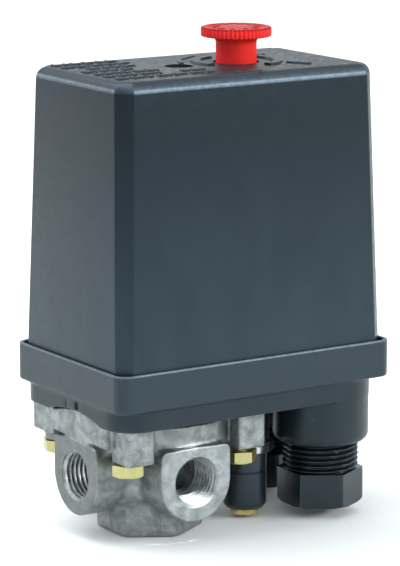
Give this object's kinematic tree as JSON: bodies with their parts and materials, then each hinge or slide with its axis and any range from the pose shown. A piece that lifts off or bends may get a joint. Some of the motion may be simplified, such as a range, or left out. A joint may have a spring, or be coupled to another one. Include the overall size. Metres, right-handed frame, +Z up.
{
  "type": "pressure switch",
  "caption": "Air-compressor pressure switch: tapered cover with push-pull knob, die-cast manifold with threaded ports, unloader valve and cable glands.",
  "frame": {"origin": "centre of the tank port's mouth, on the underside of the manifold's hexagonal hub", "axes": "+Z up along the tank port's axis towards the knob, +X along the long side towards the cable glands, -Y towards the long face above the front port"},
  "size_m": [0.084, 0.053, 0.1297],
  "materials": {
    "cast_alloy": "rough die-cast",
    "yellow_zinc": "yellow zinc plate",
    "zinc_steel": "bright zinc plate",
    "spring_steel": "oiled wire",
    "brass": "machined",
    "copper": "stamped",
    "black_shell": "fine moulded grain",
    "black_base": "fine moulded grain",
    "black_nylon": "smooth moulded",
    "red_plastic": "semi-gloss",
    "white_plastic": "smooth moulded",
    "brown_resin": "moulded phenolic",
    "black_rubber": "matt"
  },
  "bodies": {
    "housing": {"manifold": "cast_alloy", "manifold_screws": "yellow_zinc", "diaphragm": "black_rubber", "base": "black_base", "cover": "black_shell", "cover_screw": "zinc_steel", "cover_post": "zinc_steel", "frame": "zinc_steel", "spring_bridge": "zinc_steel", "lever_pin": "zinc_steel", "switch_pin": "zinc_steel", "main_spring": "spring_steel", "differential_spring": "spring_steel", "return_spring": "spring_steel", "fixed_contacts": "copper", "terminal_screws": "brass", "wire_clamps": "brass", "terminal_block": "brown_resin", "earth_screw": "brass", "earth_washer": "brass", "unloader_body": "black_nylon", "unloader_valve": "brass", "unloader_seal": "black_rubber", "unloader_nut": "zinc_steel", "unloader_spring": "spring_steel", "near_grommet": "black_rubber", "far_grommet": "black_rubber"},
    "knob": {"knob": "red_plastic", "knob_rod": "black_nylon", "knob_ring": "spring_steel"},
    "switch_lever": {"switch_lever": "zinc_steel", "contact_carrier": "white_plastic", "contact_bridges": "copper", "contact_springs": "spring_steel"},
    "unloader_pin": {"unloader_pin": "zinc_steel"},
    "pressure_lever": {"pressure_lever": "zinc_steel"},
    "piston": {"piston": "white_plastic"},
    "unloader_collet": {"unloader_collet": "brass"},
    "adjusting_screw": {"adjusting_screw": "zinc_steel"},
    "spring_seat": {"spring_seat": "yellow_zinc"},
    "differential_screw": {"differential_screw": "zinc_steel"},
    "differential_nut": {"differential_nut": "yellow_zinc"},
    "near_gland_washer": {"near_gland_washer": "zinc_steel"},
    "near_gland_screw": {"near_gland_screw": "black_nylon"},
    "far_gland_washer": {"far_gland_washer": "zinc_steel"},
    "far_gland_screw": {"far_gland_screw": "black_nylon"}
  },
  "joints": [
    {"name": "switch_lever_tilt", "type": "hinge", "parent": "housing", "child": "switch_lever", "pos_m": [0.015, 0, 0.062], "axis": [0, 1, 0], "range_deg": [0, 12], "deforming": ["return_spring"]},
    {"name": "knob_slide", "type": "slide", "parent": "housing", "child": "knob", "axis": [0, 0, 1], "range_m": [-0.00448, 0]},
    {"name": "unloader_pin_slide", "type": "slide", "parent": "housing", "child": "unloader_pin", "axis": [0, 0, 1], "range_m": [-0.0024, 0], "deforming": ["unloader_spring"]},
    {"name": "pressure_lever_tilt", "type": "hinge", "parent": "housing", "child": "pressure_lever", "pos_m": [-0.017, 0, 0.0468], "axis": [0, -1, 0], "range_deg": [0, 3.5], "stiffness_Nm_per_rad": 5, "springref_deg": -5.73, "deforming": ["main_spring", "differential_spring"]},
    {"name": "piston_slide", "type": "slide", "parent": "housing", "child": "piston", "axis": [0, 0, 1], "range_m": [0, 0.00104]},
    {"name": "collet_slide", "type": "slide", "parent": "housing", "child": "unloader_collet", "axis": [0, 0, 1], "range_m": [0, 0.0007], "stiffness_N_per_m": 200, "springref_m": -0.001},
    {"name": "adjusting_screw_turn", "type": "hinge", "parent": "housing", "child": "adjusting_screw", "pos_m": [0, 0, 0.0985], "axis": [0, 0, 1], "range_deg": [-1080, 1080]},
    {"name": "spring_seat_slide", "type": "slide", "parent": "housing", "child": "spring_seat", "axis": [0, 0, 1], "range_m": [-0.003, 0.003]},
    {"name": "differential_screw_turn", "type": "hinge", "parent": "housing", "child": "differential_screw", "pos_m": [-0.011, 0, 0.0985], "axis": [0, 0, 1], "range_deg": [-1080, 1080]},
    {"name": "differential_nut_slide", "type": "slide", "parent": "housing", "child": "differential_nut", "axis": [0, 0, 1], "range_m": [-0.0021, 0.0021]},
    {"name": "near_gland_travel", "type": "slide", "parent": "housing", "child": "near_gland_washer", "axis": [0, 0, 1], "range_m": [-0.00282, 0.00141], "deforming": ["near_grommet"]},
    {"name": "near_gland_turn", "type": "hinge", "parent": "near_gland_washer", "child": "near_gland_screw", "pos_m": [0.0455, -0.013, 0.014], "axis": [0, 0, 1], "range_deg": [-720, 360]},
    {"name": "far_gland_travel", "type": "slide", "parent": "housing", "child": "far_gland_washer", "axis": [0, 0, 1], "range_m": [-0.00282, 0.00141], "deforming": ["far_grommet"]},
    {"name": "far_gland_turn", "type": "hinge", "parent": "far_gland_washer", "child": "far_gland_screw", "pos_m": [0.0455, 0.013, 0.014], "axis": [0, 0, 1], "range_deg": [-720, 360]}
  ],
  "couplings": [
    {"joint": "switch_lever_tilt", "follows": "knob_slide", "rad_per_m": -46.729},
    {"joint": "unloader_pin_slide", "follows": "knob_slide", "ratio": 0.52804},
    {"joint": "pressure_lever_tilt", "follows": "piston_slide", "rad_per_m": 58.824},
    {"joint": "adjusting_screw_turn", "follows": "spring_seat_slide", "rad_per_m": -6283.2},
    {"joint": "differential_screw_turn", "follows": "differential_nut_slide", "rad_per_m": -8976},
    {"joint": "near_gland_turn", "follows": "near_gland_travel", "rad_per_m": 4453},
    {"joint": "far_gland_turn", "follows": "far_gland_travel", "rad_per_m": 4453}
  ]
}
